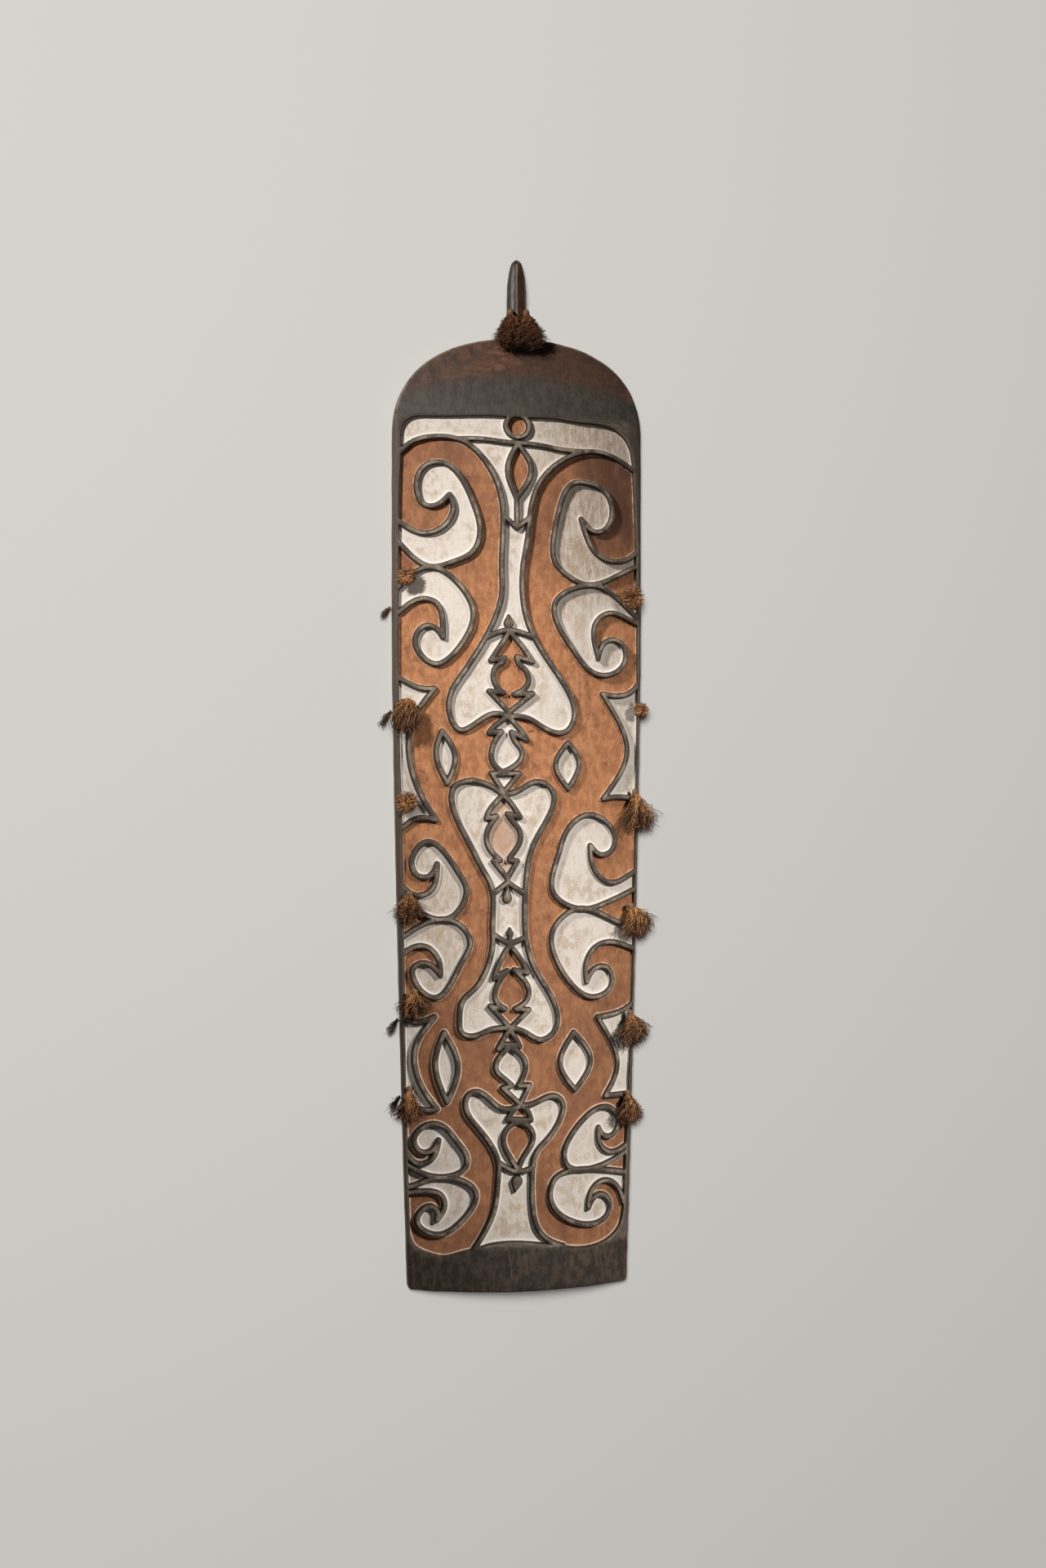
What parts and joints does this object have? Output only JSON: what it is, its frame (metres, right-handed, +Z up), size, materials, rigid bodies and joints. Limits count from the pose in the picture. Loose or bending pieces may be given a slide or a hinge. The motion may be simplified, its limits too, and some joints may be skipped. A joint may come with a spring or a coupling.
{
  "type": "carved wooden shield",
  "caption": "Tall bowed plank shield with a domed top and spur, carved scroll relief in red, white and black, a carved grip behind and fibre tassels.",
  "frame": {"origin": "on the surface that the board's two long edges rest on, under the middle of the whole length and width", "axes": "+X to the viewer's right across the board, +Y along it towards the spur, +Z up out of the carved face"},
  "size_m": [0.4981, 1.87, 0.082],
  "materials": {
    "carved_wood": "hand carved, painted in red ochre, white lime and black on dark worn wood, matt",
    "palm_fibre": "loose brown palm fibre in bound bunches, dry and matt"
  },
  "bodies": {
    "root": {"board": "carved_wood", "tassel_left_1": "palm_fibre", "tassel_left_2": "palm_fibre", "tassel_left_3": "palm_fibre", "tassel_left_4": "palm_fibre", "tassel_left_5": "palm_fibre", "tassel_left_6": "palm_fibre", "tassel_right_1": "palm_fibre", "tassel_right_2": "palm_fibre", "tassel_right_3": "palm_fibre", "tassel_right_4": "palm_fibre", "tassel_right_5": "palm_fibre", "tassel_right_6": "palm_fibre", "edge_tuft_1": "palm_fibre", "edge_tuft_2": "palm_fibre", "edge_tuft_3": "palm_fibre", "edge_tuft_4": "palm_fibre", "spur_bundle_left": "palm_fibre", "spur_bundle_right": "palm_fibre"}
  },
  "joints": []
}
